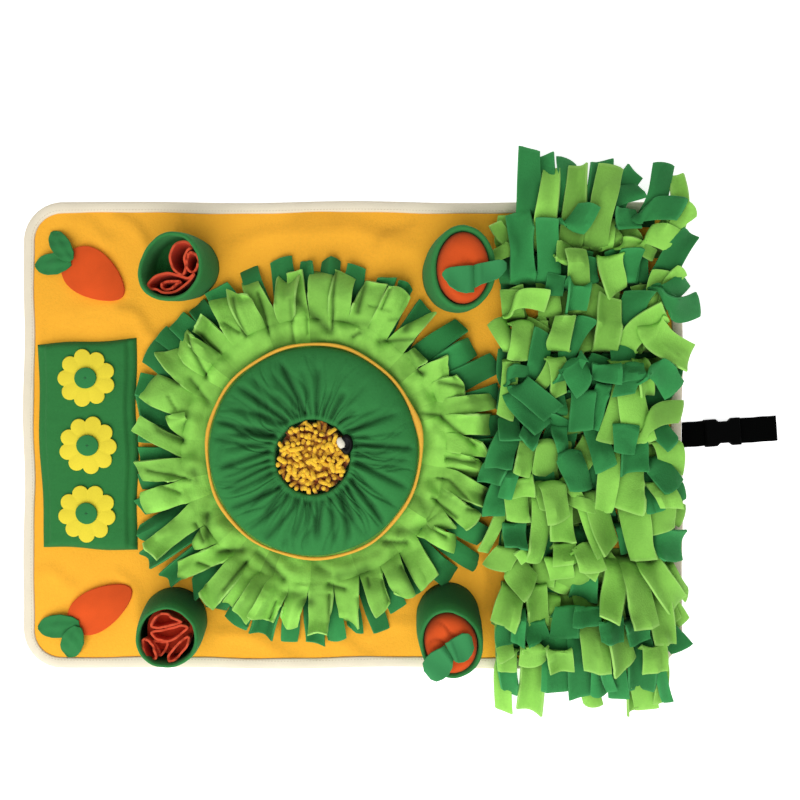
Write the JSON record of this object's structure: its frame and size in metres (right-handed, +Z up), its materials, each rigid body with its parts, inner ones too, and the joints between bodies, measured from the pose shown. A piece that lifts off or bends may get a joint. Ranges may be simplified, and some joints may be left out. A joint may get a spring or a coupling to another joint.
{
  "type": "snuffle mat",
  "caption": "Flat pet snuffle mat of bound fleece with a fringed flower and drawstring puff, fleece pots with felt rolls and stuffed carrots, a field of fringe bands and a closing strap.",
  "frame": {"origin": "middle of the mat's underside, on the surface that it lies on", "axes": "+X along the mat's long side towards the strap, +Y along its short side towards the upper pots, +Z up"},
  "size_m": [0.8079, 0.5932, 0.0726],
  "materials": {
    "orange_fleece": "brushed fleece",
    "cream_tape": "folded woven tape",
    "dark_fleece": "brushed fleece",
    "light_fleece": "brushed fleece",
    "yellow_felt": "pressed felt",
    "carrot_felt": "brushed felt",
    "red_felt": "pressed felt",
    "yellow_chenille": "chenille pile",
    "black_webbing": "woven webbing",
    "black_plastic": "moulded, fine grain"
  },
  "bodies": {
    "root": {"buckle": "black_plastic", "carrot_leaf_lower_bottom": "dark_fleece", "carrot_leaf_lower_side": "dark_fleece", "carrot_leaf_upper_side": "dark_fleece", "carrot_leaf_upper_top": "dark_fleece", "cord_lock": "black_plastic", "edge_binding": "cream_tape", "felt_flower_1": "yellow_felt", "felt_flower_2": "yellow_felt", "felt_flower_3": "yellow_felt", "felt_roll_lower_left": "red_felt", "felt_roll_upper_left": "red_felt", "flat_carrot_lower": "carrot_felt", "flat_carrot_upper": "carrot_felt", "flower_centre_1": "dark_fleece", "flower_centre_2": "dark_fleece", "flower_centre_3": "dark_fleece", "flower_pocket": "dark_fleece", "fringe_band_01": "dark_fleece", "fringe_band_02": "light_fleece", "fringe_band_03": "dark_fleece", "fringe_band_04": "light_fleece", "fringe_band_05": "light_fleece", "fringe_band_06": "dark_fleece", "fringe_band_07": "dark_fleece", "fringe_band_08": "light_fleece", "fringe_band_09": "dark_fleece", "fringe_band_10": "light_fleece", "fringe_band_11": "dark_fleece", "fringe_band_12": "light_fleece", "fringe_band_13": "light_fleece", "fringe_band_14": "dark_fleece", "fringe_band_15": "light_fleece", "mat_panel": "orange_fleece", "pot_leaf_lower_right_inner": "dark_fleece", "pot_leaf_lower_right_outer": "dark_fleece", "pot_leaf_upper_right_inner": "dark_fleece", "pot_leaf_upper_right_outer": "dark_fleece", "pot_lower_left": "dark_fleece", "pot_lower_right": "dark_fleece", "pot_upper_left": "dark_fleece", "pot_upper_right": "dark_fleece", "puff": "dark_fleece", "puff_filling": "yellow_chenille", "puff_piping": "orange_fleece", "ring_fringe_dark": "dark_fleece", "ring_fringe_light": "light_fleece", "strap_end": "black_webbing", "strap_webbing": "black_webbing", "stuffed_carrot_lower_right": "carrot_felt", "stuffed_carrot_upper_right": "carrot_felt"}
  },
  "joints": []
}
